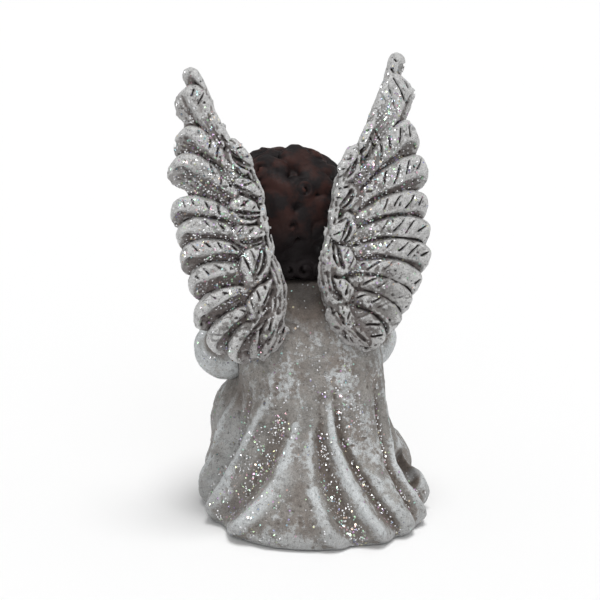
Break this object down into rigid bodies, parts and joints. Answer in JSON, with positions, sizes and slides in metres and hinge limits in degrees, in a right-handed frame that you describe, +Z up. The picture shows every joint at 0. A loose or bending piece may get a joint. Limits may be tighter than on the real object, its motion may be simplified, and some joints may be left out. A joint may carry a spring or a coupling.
{
  "type": "angel figurine",
  "caption": "Small seated angel in cast resin: long robe with a folded hem, raised carved feather wings, curly hair, folded hands and a felt base.",
  "frame": {"origin": "middle of the flat underside of the felt pad", "axes": "+Z up; the figure faces -Y and its left side is +X"},
  "size_m": [0.0666, 0.0667, 0.1173],
  "materials": {
    "whitewashed_resin": "cast resin, brown wash in the folds, white dry-brushed ridges, scattered silver glitter",
    "glittered_resin": "cast resin, whitewashed over brown, silver and multicolour glitter",
    "painted_skin": "satin painted resin with a faint blush",
    "painted_hair": "satin dark brown paint with red-brown worn tops",
    "felt": "thin black felt"
  },
  "bodies": {
    "root": {"robe_body": "whitewashed_resin", "left_sleeve": "whitewashed_resin", "right_sleeve": "whitewashed_resin", "left_wing": "glittered_resin", "right_wing": "glittered_resin", "head": "painted_skin", "left_hand": "painted_skin", "right_hand": "painted_skin", "left_foot": "painted_skin", "right_foot": "painted_skin", "hair": "painted_hair", "felt_pad": "felt"}
  },
  "joints": []
}
